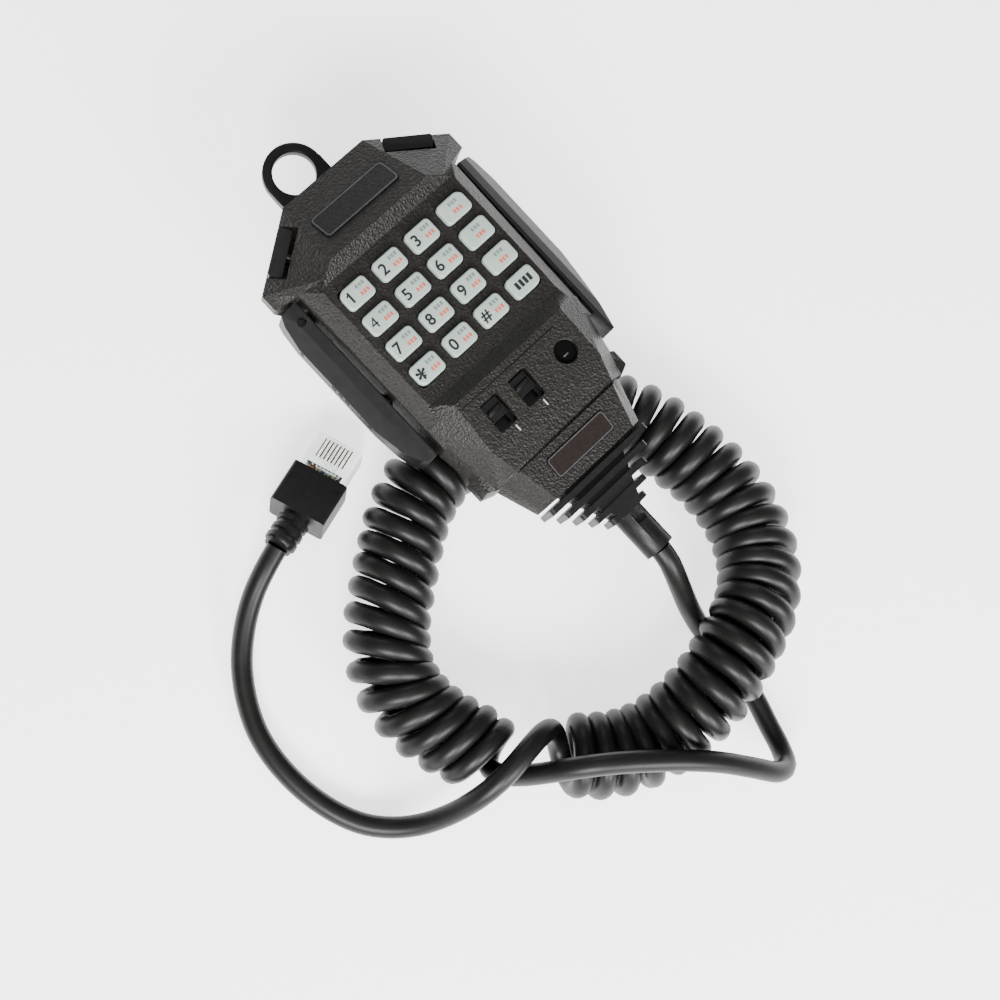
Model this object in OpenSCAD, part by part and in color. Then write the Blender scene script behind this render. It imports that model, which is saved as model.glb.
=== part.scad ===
// Hand microphone with a sixteen-key keypad, a side talk bar, two shoulder buttons,
// two slide switches, a hanging ring, a hanger stud and a curly cord that ends in an
// eight-way modular plug. It lies on its back: +Z is out of the keypad, +Y is towards
// the hanging ring, and the stud's flat head is at z = 0.

/* [Body] */
// Height of the key tops above the surface that the stud rests on
face_h = 43; // [42.6:0.1:43.4]
// Width over the talk bar and the grip strip
body_w = 63; // [62.8:0.1:63.4]
// Thickness of the shells' plain walls
wall = 1.8; // [1.6:0.1:2]

/* [Keypad] */
// Key pitch across the microphone
key_pitch_x = 10.2; // [10:0.1:10.4]
// Key pitch along the microphone
key_pitch_y = 7.75; // [7.7:0.05:7.9]
// Width of a key
key_w = 7.6; // [7.2:0.1:7.6]
// Length of a key
key_l = 5.4; // [5:0.1:5.4]
// Corner radius of a key
key_r = 1.2; // [0.8:0.1:1.6]
// How far a key travels when pressed
key_travel = 0.8; // [0.5:0.1:0.8]
// Clearance round each key in its window
key_gap = 0.25; // [0.2:0.05:0.3]

/* [Switches and port] */
// Middle of the left slide switch, across the microphone
switch_x1 = -10.2; // [-10.6:0.1:-9.8]
// Middle of the right slide switch
switch_x2 = -1.3; // [-1.6:0.1:-1]
// Distance of the switches and the port below the keypad's middle
switch_y = -30; // [-30.2:0.1:-29.8]
// Travel of a slide switch
switch_travel = 2.5; // [2:0.1:2.5]
// Middle of the microphone port, across the microphone
port_x = 11.5; // [11:0.1:12]
// Radius of the port's recess
port_r = 3; // [2.6:0.1:3.2]

/* [Hanging] */
// Radius of the hole in the hanging ring
ring_hole_r = 5.3; // [4.5:0.1:5.8]
// Outer radius of the hanging ring
ring_r = 7.75; // [7.5:0.05:7.9]
// Distance of the ring's hole above the keypad's middle
ring_y = 46; // [45.5:0.1:46.5]
// Radius of the hanger stud's neck
stud_neck_r = 3.2; // [3:0.1:3.6]
// Radius of the hanger stud's head
stud_head_r = 6.5; // [6:0.1:7]

/* [Cord] */
// Diameter of the cord's jacket
cord_d = 5.3; // [5.2:0.1:5.4]
// Outer diameter of the curly part
coil_d = 21; // [20.8:0.1:21]

/* [Hidden] */
$fn = 48;
KEY_NAMES = ["1", "2", "3", "a", "4", "5", "6", "b", "7", "8", "9", "c", "star", "0", "hash", "d"];

ABS_BLACK = "#2b2b2c";
KEY_GREY = "#cfd8d2";
SILICONE = "#3a3b3d";
BOARD_GREEN = "#2f5a3c";
STEEL = "#b9bcc0";
GOLD = "#c9a24a";
JACKET = "#1b1b1c";
CLEAR_PC = "#e6ecec";

// Levels above the surface, worked down from the key tops.
rim_z = face_h + 1;          // ridge round the keypad recess
floor_z = face_h - 1.5;      // floor of the keypad recess
panel_z = face_h - 2.8;      // underside of the panel that holds the keys
shelf_z = face_h - 7;        // ridge of the two side bars
part_z = face_h - 13;        // parting line of the two shells
neck_back_z = face_h - 20;   // back of the lower body, above the curly cord
back_z = face_h - 30;        // back of the body
board_t = 1.6;
board_z = face_h - 7.7;      // underside of the board
board_top = board_z + board_t;
cable_z = face_h - 15;       // axis of the strain relief

// Plan sizes, measured from the keypad's middle.
half_w = body_w / 2;
top_y = 38.4;                // top edge of the body
crest_y = 21;                // lower edge of the sloping badge panel
ridge_y = -22;               // ridge below the keypad
neck_y = -42.6;              // where the body narrows to its neck
end_y = -53.4;               // end of the neck
sleeve_end = -79;            // end of the strain relief's sleeve
body_y = -(ring_y + ring_r + sleeve_end) / 2;   // brings the box's middle to y = 0
bar_in = half_w - 5.8;       // inner face of the side bars
pocket_x = -(bar_in - 1.7);  // wall behind the talk bar's lower end
pivot = [-(half_w - 3.9), 15.9];
pin_r = 1;
ptt_plunger_y = -10;
badge_y = 28.3;
label_y = -47.9;
screw_r = 1.3;
screw_places = [[16.5, 18.3, back_z + 2.2], [15.5, -19.6, back_z + 11.2]];
stud_y = 10;
boss_r = 3;                  // bosses that the case screws run through
rib_r = 2.6;                 // bosses that the case screws bite into

// Slopes of the badge panel and of the label panel.
badge_tilt = atan2(rim_z - part_z - 5, top_y - crest_y);
label_tilt = atan2(2.4, neck_y - end_y);
shoulder_dir = atan2(-11.9, 17.4);
shoulder_mid = [21.3, 32.45];

// Route of the cord: points every few diameters, in the finished frame.
lead_route = [
    [0, -66.4, 28], [-0.2, -70, 27], [-0.6, -73.6, 24.4], [-0.8, -77.6, 20.2], [-0.8, -82, 15],
    [-0.4, -87, 9.2], [0, -92.5, 5], [0.3, -98, 3.2], [0.2, -104, 2.7], [-1.2, -112, 2.7],
    [-3.4, -119, 3], [-5.8, -125, 5], [-8.8, -128.2, 8.4], [-12.6, -126.6, 12.6],
    [-17.4, -120.6, 17.6], [-23.2, -113.4, 22], [-29.5, -106.8, 24.8], [-36.2, -100.6, 25.8],
    [-42.2, -95.4, 26], [-47, -91.6, 25.8], [-51.2, -88.6, 23.8], [-54.8, -86.4, 19.6],
    [-57.8, -84.6, 14.4], [-60.8, -82.6, 9.6], [-63.6, -80, 6], [-66, -77, 4.4]];
coil_route = [
    [-60, -75.8, 10.5], [-62.8, -68.6, 10.5], [-65.4, -60, 10.5], [-65.8, -51, 10.5],
    [-63.2, -43, 10.5], [-57.8, -36.2, 10.5], [-51.2, -30.8, 10.5], [-44.2, -25.8, 10.5],
    [-37, -21, 10.5], [-28.6, -17.4, 10.5], [-19, -16, 10.5], [-9, -17.5, 10.5],
    [2, -21.5, 10.5], [12, -27.5, 10.5], [19, -35, 10.5], [23.5, -44, 10.5], [26, -54, 10.5],
    [27.3, -64, 10.6], [26.5, -74, 11.2], [23, -83, 12.6], [17, -90, 14.8], [9.5, -94.5, 17],
    [1, -97.2, 18], [-8, -99.6, 17.4], [-17, -100.8, 15.4], [-26, -100.5, 12.8],
    [-34.5, -98, 11], [-42, -93, 10.5], [-48.5, -87, 10.5]];
tail_route = [
    [-43.2, -81.8, 10.4], [-43.8, -79.4, 13.8], [-45.6, -78.2, 17.2], [-48.8, -78, 20.2],
    [-52.8, -78.8, 22.4], [-57.4, -79.6, 23.2], [-62.4, -80, 22.4], [-67.6, -80, 19.4],
    [-72.8, -79.3, 15], [-78, -78, 10.4], [-83.4, -75.6, 6.4], [-88.6, -71.6, 3.8],
    [-93, -66, 2.8], [-96, -58.6, 2.7], [-97.6, -50, 2.7], [-97.6, -41, 2.7], [-96, -33, 2.7],
    [-92.6, -25.6, 2.8], [-87.8, -18.8, 3.6], [-81.8, -13.2, 5.4], [-75.4, -9, 7.8],
    [-69.4, -6.4, 10.3], [-63.9, -4.6, 11.7]];

// Pose of the plug: its nose points away from the cord and its latch is underneath.
plug_at = [-35.6, 2.4, 1.8];
plug_turn = [-13, -10, -75];
plug_w = 11.68;
plug_l = 20.6;
plug_h = 6.5;
boot_front = -10.2;
boot_rear = -21.8;
relief_end = -30.6;
latch_pivot = [-1.2, -0.9];

// ---- Helpers ----

// Puts what is drawn round the keypad's middle into the finished frame.
module at_body() translate([0, body_y, 0]) children();

// Puts what is drawn round the nose of the plug where the plug lies.
module at_plug() translate(plug_at) rotate([0, 0, plug_turn[2]])
    rotate([plug_turn[0], 0, 0]) rotate([0, plug_turn[1], 0]) children();

// Both halves of a set of points whose x is above zero.
function both(p) = concat(p, [for (q = p) [-q[0], q[1], q[2]]]);
function outline(p) = concat(p, [for (i = [len(p) - 1:-1:0]) [-p[i][0], p[i][1]]]);

// The convex block through the given points.
module block(points) hull() polyhedron(points, [[for (i = [0:len(points) - 1]) i]]);

// A prism that runs across the microphone, from its (y, z) profile.
module across(profile, w) translate([-w / 2, 0, 0]) rotate([90, 0, 90])
    linear_extrude(w) polygon(profile);

// A flat rectangle with true round corners.
module rounded(w, l, r) {
    square([w - 2 * r, l], center = true);
    square([w, l - 2 * r], center = true);
    for (x = [-1, 1], y = [-1, 1]) translate([x * (w / 2 - r), y * (l / 2 - r)]) circle(r);
}

// Turns a child so that +X runs along a shoulder and +Y out of it. side is 1 or -1.
module at_shoulder(side) mirror([side < 0 ? 1 : 0, 0, 0])
    translate([shoulder_mid[0], shoulder_mid[1], 0]) rotate([0, 0, shoulder_dir]) children();

// A round bar along X, Y or Z between two places.
module bar_x(x0, x1, r) translate([x0, 0, 0]) rotate([0, 90, 0]) cylinder(r = r, h = x1 - x0);
module bar_y(y0, y1, r) translate([0, y1, 0]) rotate([90, 0, 0]) cylinder(r = r, h = y1 - y0);

// A tube swept along a route of points, one ring of sides to each point.
function unit(v) = v / norm(v);
function heading(p, i) = unit(p[min(i + 1, len(p) - 1)] - p[max(i - 1, 0)]);
function ring_at(p, i, r, sides) =
    let (t = heading(p, i), side = unit(cross(t, [0, 0, 1])), up = cross(side, t))
    [for (k = [0:sides - 1]) p[i] + r * (cos(360 * k / sides) * side + sin(360 * k / sides) * up)];
module sweep(p, r, sides) {
    n = len(p);
    rings = [for (i = [0:n - 1]) each ring_at(p, i, r, sides)];
    walls = [for (i = [0:n - 2], k = [0:sides - 1])
        let (a = i * sides + k, b = i * sides + (k + 1) % sides) [a, b, b + sides, a + sides]];
    caps = [[for (k = [sides - 1:-1:0]) k], [for (k = [0:sides - 1]) (n - 1) * sides + k]];
    polyhedron(rings, concat(walls, caps));
}

// ---- Shells ----

// Middle of the key in column c and row r.
function key_at(c, r) = [(c - 1.5) * key_pitch_x, (1.5 - r) * key_pitch_y];

// Outer form of the front shell: shoulders, keypad block, lower body, ears and neck.
module front_form() {
    block(both([[12.6, top_y, part_z], [30, 26.5, part_z], [30, 22, part_z],
        [12.6, top_y, part_z + 5], [30, 26.5, part_z + 3.5], [30, 22, part_z + 3.5],
        [25.2, 20, part_z], [15.3, crest_y, rim_z], [19, 19, rim_z - 1.5]]));
    block(both([[25.2, 22, part_z], [25.2, 22, shelf_z - 2], [24.3, 21, shelf_z + 2],
        [15.3, crest_y, rim_z], [20.3, 16, floor_z + 0.5], [20.3, -16, floor_z + 0.5],
        [17, ridge_y, rim_z], [25, -27.8, part_z], [24, -27.8, shelf_z + 1]]));
    block(both([[25.2, ridge_y, part_z], [25, ridge_y, shelf_z - 2], [24, ridge_y, shelf_z + 2],
        [17, ridge_y, rim_z], [17.4, -35.6, face_h - 1.4], [22.6, -34, part_z],
        [22, -34, shelf_z], [22.4, neck_y, part_z], [20.5, neck_y, part_z + 4],
        [15.6, neck_y, face_h - 3.2]]));
    block(both([[20, -36, part_z], [24, -37.2, part_z], [24, -42, part_z], [20.7, -43.2, part_z],
        [20, -36, part_z + 5], [23, -37.6, part_z + 4], [23, -41.6, part_z + 4],
        [20, -43, part_z + 4]]));
    block(both([[21, -41, part_z], [16.8, end_y, part_z], [19.5, -41, part_z + 4],
        [16, end_y, part_z + 3], [15.7, -41, face_h - 2.9], [12.6, end_y, face_h - 5.6]]));
}

// Room inside the front shell.
module front_room() {
    low = part_z - 1;
    block(both([[21.4, 22, low], [21.4, -33, low], [21.4, 22, board_top], [20.8, -29, board_top],
        [19.9, 17.5, panel_z], [19.9, -18, panel_z], [16, -34.5, panel_z - 0.2],
        [19, -40, low], [14, -40, face_h - 5]]));
    block(both([[9, 34.2, low], [24.2, 23.8, low], [9, 34.2, part_z + 5],
        [23, 22.6, part_z + 6.5], [20, 17, low], [20, 17, panel_z - 2], [13.6, 19, rim_z - wall]]));
    translate([0, 0, low]) linear_extrude(face_h - 7.5 - low)
        polygon(outline([[14, -39], [11.5, end_y + wall]]));
}

// The pocket that the talk bar swings in, open to the side and wider at its lower end.
module talk_pocket() translate([0, 0, part_z - 6.8]) linear_extrude(60)
    polygon([[-45, 20.6], [-bar_in + 0.9, 20.6], [pocket_x, -27.8], [-45, -27.8]]);

// The hole that the talk bar's plunger passes through.
module plunger_hole() translate([0, ptt_plunger_y, cable_z + 2])
    bar_x(pocket_x - 1, pocket_x + 4, 2);

// The notch that a shoulder button sits in, with the hole for its stem.
module button_notch(side) at_shoulder(side) {
    translate([-6.2, -4.5, part_z + 1]) cube([12.4, 9, 20]);
    translate([0, 0, part_z + 3.3]) bar_y(-9, -3, 1.5);
}

module front_cover() color(ABS_BLACK) at_body() difference() {
    union() {
        difference() {
            front_form();
            front_room();
        }
        for (x = [-1, 1], s = screw_places) translate([x * s[0], s[1], board_top + 0.1])
            cylinder(r = rib_r, h = panel_z + 0.5 - board_top - 0.1);
    }
    for (x = [-1, 1], s = screw_places) translate([x * s[0], s[1], board_z])
        cylinder(r = screw_r, h = face_h - 3.6 - board_z);
    across([[17.6, floor_z], [crest_y, rim_z], [crest_y, rim_z + 9], [ridge_y, rim_z + 9],
        [ridge_y, rim_z], [-18.2, floor_z]], 80);
    talk_pocket();
    for (side = [-1, 1]) button_notch(side);
    for (c = [0:3], r = [0:3]) translate([key_at(c, r)[0], key_at(c, r)[1], panel_z - 1])
        linear_extrude(8) rounded(key_w + 2 * key_gap, key_l + 2 * key_gap, key_r);
    for (x = [switch_x1, switch_x2]) translate([x, switch_y, panel_z - 1])
        linear_extrude(8) rounded(5.4, 7.8, 0.4);
    translate([port_x, switch_y, face_h - 1.9]) cylinder(r = port_r, h = 5);
    translate([port_x, switch_y, panel_z - 1]) linear_extrude(5) rounded(3.2, 1, 0.4);
    badge_seat(0) linear_extrude(5) rounded(22.6, 7.3, 1.2);
    label_seat(0) linear_extrude(5) rounded(18.2, 5.6, 1);
    translate([-30, neck_y - 0.4, face_h - 4]) cube([60, 0.8, 6]);
    translate([0, 0, cable_z]) bar_y(end_y - 2, end_y + 4, 4.2);
    plunger_hole();
}

// The seats of the badge and the label, sunk half a millimetre into their panels.
module badge_seat(lift) translate([0, badge_y, rim_z - (badge_y - crest_y) * tan(badge_tilt)])
    rotate([-badge_tilt, 0, 0]) translate([0, 0, lift - 0.5]) children();
module label_seat(lift) translate([0, label_y, face_h - 3.2 + (label_y - neck_y) * tan(label_tilt)])
    rotate([label_tilt, 0, 0]) translate([0, 0, lift - 0.5]) children();

module badge_plate() color("#232324") at_body() badge_seat(0)
    linear_extrude(0.8) rounded(22.4, 7.1, 1.1);

module label_plate() color("#3a2f2c") at_body() label_seat(0)
    linear_extrude(0.8) rounded(18, 5.4, 0.9);

// Outer form of the rear shell: palm swell, lower body clear of the cord, ears and neck.
module rear_form() {
    block(both([[12.6, top_y, part_z], [30, 26.5, part_z], [30, 22, part_z],
        [12, 37.4, back_z + 7], [27, 25, back_z + 8], [26, 20, back_z + 8],
        [11, 35, back_z], [20, 23, back_z], [19, 16, back_z]]));
    block(both([[25.2, 22.5, part_z], [25, -27.8, part_z], [24, 22.5, back_z + 8],
        [23, -20, back_z + 11], [20, 22, back_z], [19, -2, back_z], [16, -22, neck_back_z],
        [16, -27, neck_back_z + 0.4]]));
    block(both([[25, -22, part_z], [22.6, -34, part_z], [22.4, neck_y, part_z],
        [20, -22, neck_back_z], [17, neck_y, neck_back_z]]));
    block(both([[20.7, -41, part_z], [16.8, end_y, part_z], [16, -41, neck_back_z],
        [13, end_y, neck_back_z + 0.4]]));
    translate([0, 0, part_z - 3]) linear_extrude(3)
        polygon(outline([[24, -37.2], [24, -42], [20.7, -43.2]]));
    translate([0, stud_y, back_z - 2.5]) cylinder(r = 9, h = 3);
}

// Room inside the rear shell.
module rear_room() {
    high = part_z + 1;
    block(both([[10, 35.6, high], [24.5, 25, high], [24, 23.2, high], [21.4, 21, high],
        [10, 35.2, back_z + 7], [21.4, 21, back_z + 9], [9.6, 33.4, back_z + 2],
        [18, 20, back_z + 2], [17, -1, back_z + 2], [18.5, 10, high]]));
    block(both([[21.4, 21, high], [21.4, -26, high], [21, 20, back_z + 9], [20.5, -17, back_z + 13],
        [18, 19, back_z + 2], [17, -1, back_z + 2], [14.5, -20, neck_back_z + 2],
        [19, -38, high], [14, -38, neck_back_z + 2]]));
    translate([0, 0, neck_back_z + 2]) linear_extrude(high - neck_back_z - 2)
        polygon(outline([[14, -37], [11, end_y + wall]]));
}

module rear_cover() color(ABS_BLACK) at_body() {
    difference() {
        union() {
            difference() {
                rear_form();
                rear_room();
            }
            for (x = [-1, 1], s = screw_places)
                translate([x * s[0], s[1], s[2] - 0.5]) cylinder(r = boss_r, h = board_z + 0.4 - s[2]);
            translate([0, stud_y, back_z + 1]) cylinder(r = 4, h = 7);
            for (x = [-1, 1]) translate([x * 6.5, -46.5, neck_back_z + 1]) cylinder(r = 1.9, h = 5.4);
        }
        talk_pocket();
        for (x = [-1, 1], s = screw_places) translate([x * s[0], s[1], 0]) {
            cylinder(r = 2.6, h = s[2] + 2);
            cylinder(r = screw_r + 0.2, h = 60);
        }
        translate([0, stud_y, 0]) cylinder(r = 1.5, h = 19);
        translate([-8, 30, back_z + 1.9]) cube([16, 20, 3.2]);
        for (x = [-1, 1]) translate([x * 4.5, 31, back_z + 0.8]) cylinder(r = 1.1, h = 3);
        for (x = [-1, 1]) translate([x * 6.5, -46.5, neck_back_z + 1.6]) cylinder(r = 0.9, h = 8);
        translate([0, 0, cable_z]) bar_y(end_y - 2, end_y + 4, 4.2);
        plunger_hole();
    }
    talk_lug();
}

// The lug that holds the talk bar's hinge pin, inside the hollow bar.
module talk_lug() difference() {
    translate([0, 0, part_z - 3.7]) linear_extrude(4.1) union() {
        translate(pivot) circle(1.9);
        translate([pivot[0], pivot[1] - 1.6]) square([pocket_x - pivot[0] + 1, 3.2]);
    }
    translate([pivot[0], pivot[1], part_z - 5]) cylinder(r = pin_r, h = 8);
    translate([-bar_in + 0.3, pivot[1] - 3, part_z]) cube([5, 6, 3]);
}

// Section of a side bar in (x, z), drawn for the left side.
bar_section = [[-bar_in, part_z - 6.4], [-half_w + 1.9, part_z - 6.4], [-half_w, part_z - 3.6],
    [-half_w, part_z + 0.6], [-half_w + 3.1, part_z + 4.4], [-bar_in - 0.4, shelf_z],
    [-bar_in, shelf_z]];
bar_hollow = [[-bar_in + 1, part_z - 4.9], [-half_w + 2.6, part_z - 4.9],
    [-half_w + 1.5, part_z - 3.1], [-half_w + 1.5, part_z + 0.2], [-half_w + 3.9, part_z + 3.2],
    [-bar_in - 0.9, part_z + 3.9], [-bar_in + 1, part_z + 3.9]];

// A side bar between two places along the microphone, from its section.
module along(section, y0, y1) translate([0, y1, 0]) rotate([90, 0, 0])
    linear_extrude(y1 - y0) polygon(section);

module grip_strip() color(SILICONE) at_body() mirror([1, 0, 0]) intersection() {
    along(concat([[-bar_in + 0.4, part_z - 6.4]], [for (i = [1:5]) bar_section[i]],
        [[-bar_in + 0.4, shelf_z]]), -35, 21);
    linear_extrude(60) polygon([[-20, 19.6], [-30, 19.6], [-30.6, 18], [-half_w, 12],
        [-half_w, -12], [-30.2, -19], [-28.4, -27], [-26.4, -33.6], [-20, -33.6]]);
}

// ---- Hanging parts ----

module hang_ring() color(ABS_BLACK) at_body() translate([0, 0, back_z + 2])
    linear_extrude(3) difference() {
        union() {
            translate([0, ring_y]) circle(ring_r);
            translate([-ring_r, 28]) square([2 * ring_r, ring_y - 28]);
        }
        translate([0, ring_y]) circle(ring_hole_r);
        for (x = [-1, 1]) translate([x * 4.5, 31]) circle(1.2);
    }

module ring_screws() color(STEEL) at_body() for (x = [-1, 1])
    translate([x * 4.5, 31, back_z + 0.8]) {
        cylinder(r = 1.1, h = 4.2);
        translate([0, 0, 4.2]) cylinder(r = 2.1, h = 1.3);
    }

module hanger_stud() color(STEEL) at_body() translate([0, stud_y, 0]) difference() {
    union() {
        cylinder(r = stud_head_r, h = 2.2);
        cylinder(r = stud_neck_r, h = back_z - 4.5);
        translate([0, 0, back_z - 4.5]) cylinder(r = 6, h = 2);
    }
    translate([0, 0, -1]) cylinder(r = 1.6, h = 20);
    translate([0, 0, -1]) cylinder(r = 2.8, h = 3);
}

module stud_screw() color(STEEL) at_body() translate([0, stud_y, 0.4]) {
    difference() {
        cylinder(r = 2.6, h = 1.6);
        translate([-2, -0.35, -1]) cube([4, 0.7, 1.6]);
        translate([-0.35, -2, -1]) cube([0.7, 4, 1.6]);
    }
    cylinder(r = 1.5, h = 17.6);
}

module case_screws() color(STEEL) at_body() for (x = [-1, 1], s = screw_places)
    translate([x * s[0], s[1], s[2] + 0.2]) difference() {
        union() {
            cylinder(r = 2.4, h = 1.8);
            cylinder(r = screw_r, h = face_h - 3.8 - s[2] - 0.2);
        }
        translate([-1.8, -0.3, -1]) cube([3.6, 0.6, 1.7]);
        translate([-0.3, -1.8, -1]) cube([0.6, 3.6, 1.7]);
    }

// ---- Keypad and board ----

// Key number i, counted along the rows from the top left.
module key_cap(i) color(KEY_GREY) at_body()
    translate([key_at(i % 4, floor(i / 4))[0], key_at(i % 4, floor(i / 4))[1], face_h - 3.8]) {
        linear_extrude(3.8) rounded(key_w, key_l, key_r);
        linear_extrude(0.7) rounded(key_w + 1, key_l + 1, key_r);
    }

module keypad_mat() color(SILICONE) at_body() translate([0, 0, board_top + 0.1])
    linear_extrude(1.1) rounded(39.6, 30.4, 2);

module main_board() color(BOARD_GREEN) at_body() translate([0, 0, board_z]) linear_extrude(board_t)
    difference() {
        polygon(outline([[10.5, 29.6], [20.4, 22.7], [20.4, -26], [13.6, -37.5]]));
        for (x = [-1, 1], s = screw_places) translate([x * s[0], s[1]]) circle(screw_r + 0.3);
    }

module controller_chip() color("#1d1d1f") at_body() translate([-5, -7, board_z - 1.4])
    cube([10, 10, 1.4]);

module mic_boot() color(SILICONE) at_body() translate([port_x, switch_y, board_top]) difference() {
    cylinder(r = 3.7, h = 2.9);
    translate([0, 0, 0.3]) cylinder(r = 3.05, h = 5);
}

module mic_capsule() color(STEEL) at_body() translate([port_x, switch_y, board_top + 0.3])
    difference() {
        cylinder(r = 3, h = 2.5);
        translate([0, 0, 2.1]) cylinder(r = 1, h = 1);
    }

// ---- Talk bar ----

module ptt_bar() color(ABS_BLACK) at_body() difference() {
    intersection() {
        along(bar_section, -27.3, 20.3);
        linear_extrude(60) polygon([[-20, 20.3], [-29.7, 20.3], [-30.6, 18], [-half_w, 12],
            [-half_w, -14], [-30.6, -21], [-29.2, -25.4], [-27.8, -27.3], [-20, -27.3]]);
    }
    along(bar_hollow, -20, 18.7);
    translate([pivot[0], pivot[1], 0]) cylinder(r = pin_r + 0.05, h = 60);
}

module ptt_pin() color(STEEL) at_body() translate([pivot[0], pivot[1], part_z - 6])
    cylinder(r = pin_r, h = 10);

module ptt_plunger() color(KEY_GREY) at_body() translate([0, ptt_plunger_y, cable_z + 2])
    bar_x(-half_w + 1.5, -20.94, 1.3);

module ptt_switch() color("#28292b") at_body() difference() {
    translate([-19.6, ptt_plunger_y - 4, cable_z - 1.5]) cube([6, 8, board_z - cable_z + 1.5]);
    translate([-20, ptt_plunger_y, cable_z + 2]) bar_x(0, 3.4, 1.06);
}

module ptt_switch_button() color("#7c3b34") at_body() translate([0, ptt_plunger_y, cable_z + 2])
    bar_x(-20.84, -18.1, 1);

// ---- Shoulder buttons ----

module shoulder_button(side) at_body() at_shoulder(side) {
    translate([0, -1.8, part_z + 1.3]) linear_extrude(4.2) rounded(11.8, 3.2, 0.6);
    translate([0, 0, part_z + 3.3]) bar_y(-7, -3.2, 1.2);
}

module shoulder_switch(side) at_body() at_shoulder(side) {
    translate([-3, -11.4, part_z + 1.4]) cube([6, 3, board_z - part_z - 1.4]);
    translate([0, 0, part_z + 3.3]) bar_y(-8.5, -7.95, 1);
}

module up_button() color(SILICONE) shoulder_button(-1);
module down_button() color(SILICONE) shoulder_button(1);
module up_switch() color("#28292b") shoulder_switch(-1);
module down_switch() color("#28292b") shoulder_switch(1);

// ---- Slide switches ----

module slide_switch(x) color(STEEL) at_body() translate([x, switch_y, board_top]) difference() {
    translate([-3.1, -4.6, 0]) cube([6.2, 9.2, 2.9]);
    translate([-1.7, -3.2, 0.7]) cube([3.4, 6.4, 5]);
}

module slide_knob(x) color("#1f1f20") at_body() translate([x, switch_y, board_top]) {
    translate([-1.5, 0.2, 0.9]) cube([3, 2.8, 2.6]);
    translate([-2.4, -1.1, 3.4]) cube([4.8, 4.8, 1.2]);
    translate([-1.8, 0.8, 4.6]) cube([3.6, 1, 0.7]);
}

// ---- Cord entry ----

// Fins with a spine between them, then a sleeve round the cord.
module strain_relief() color(SILICONE) at_body() difference() {
    union() {
        for (k = [0:4]) translate([0, -54.4 - 2.9 * k, 0]) rotate([90, 0, 0]) linear_extrude(1.5)
            translate([0, cable_z + 2.2 - 0.9 * k / 2]) rounded(31.2 - 5 * k, 12.6 - 1.1 * k, 1.2);
        translate([0, 0, cable_z - 3]) linear_extrude(8)
            polygon(outline([[9.4, -53.6], [3, -67.6]]));
        translate([0, 0, cable_z]) bar_y(sleeve_end, -66, 3.9);
        translate([0, 0, cable_z]) bar_y(-54.6, -51.4, 4.1);
        translate([-5.6, -51.5, cable_z - 2.8]) cube([11.2, 1.5, 8]);
    }
    translate([0, 0, cable_z]) bar_y(sleeve_end - 1, -45, 2.7);
    translate([0.6, -70.4, cable_z + 2.7]) linear_extrude(3) rounded(3, 1.6, 0.7);
}

module cord_core() color(JACKET) at_body() translate([0, 0, cable_z])
    bar_y(sleeve_end, -44, cord_d / 2);

module cord_clamp() color(STEEL) at_body() difference() {
    translate([-8.4, -48.4, cable_z + 1.4]) cube([16.8, 3.8, 2.2]);
    translate([0, 0, cable_z]) bar_y(-50, -43, cord_d / 2);
    for (x = [-1, 1]) translate([x * 6.5, -46.5, cable_z]) cylinder(r = 1, h = 9);
}

module clamp_screws() color(STEEL) at_body() for (x = [-1, 1])
    translate([x * 6.5, -46.5, neck_back_z + 1.8]) {
        cylinder(r = 0.9, h = cable_z + 3.6 - neck_back_z - 1.8);
        translate([0, 0, cable_z + 3.6 - neck_back_z - 1.8]) cylinder(r = 1.7, h = 1.1);
    }

module cord_header() color("#e8e2d0") at_body() translate([-6, -35, board_z - 4.4])
    cube([12, 4.6, 4.4]);

module header_wires() color("#a33a34") at_body() for (i = [-2:2])
    translate([i * 0.95, -43.9, cable_z + 0.1]) rotate([-70, 0, 0]) cylinder(d = 0.8, h = 9.4);

// ---- Cord ----

module cord_lead() color(JACKET) sweep(lead_route, cord_d / 2, 8);
module cord_coil() color(JACKET) sweep(coil_route, coil_d / 2, 12);
module cord_tail() color(JACKET) sweep(tail_route, cord_d / 2, 8);

// ---- Plug ----

module plug_body() color(CLEAR_PC, 0.4) at_plug() difference() {
    translate([-plug_w / 2, -plug_l, 0]) cube([plug_w, plug_l, plug_h]);
    translate([-4.8, -plug_l - 1, 1.2]) cube([9.6, plug_l - 7, 4.2]);
    for (i = [0:7]) translate([(i - 3.5) * 1.02 - 0.2, -6.4, 3.2]) cube([0.4, 7, 5]);
    translate([-3.2, -2.4, -1]) cube([6.4, 4, 1.6]);
}

module plug_contacts() color(GOLD) at_plug() for (i = [0:7])
    translate([(i - 3.5) * 1.02 - 0.17, -6.2, 3.3]) cube([0.34, 5.4, 2.9]);

module plug_wires() color("#d98b3a") at_plug() for (i = [0:7])
    translate([(i - 3.5) * 1.1, 0, 3.2]) bar_y(-18, -8.1, 0.48);

module plug_latch() color(CLEAR_PC, 0.4) at_plug() translate([0, latch_pivot[0], latch_pivot[1]]) {
    rotate([12, 0, 0]) translate([-1.6, -12.5, -0.5]) cube([3.2, 12.5, 1]);
    translate([-3, -0.6, -0.5]) cube([6, 1.2, 1]);
}

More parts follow.
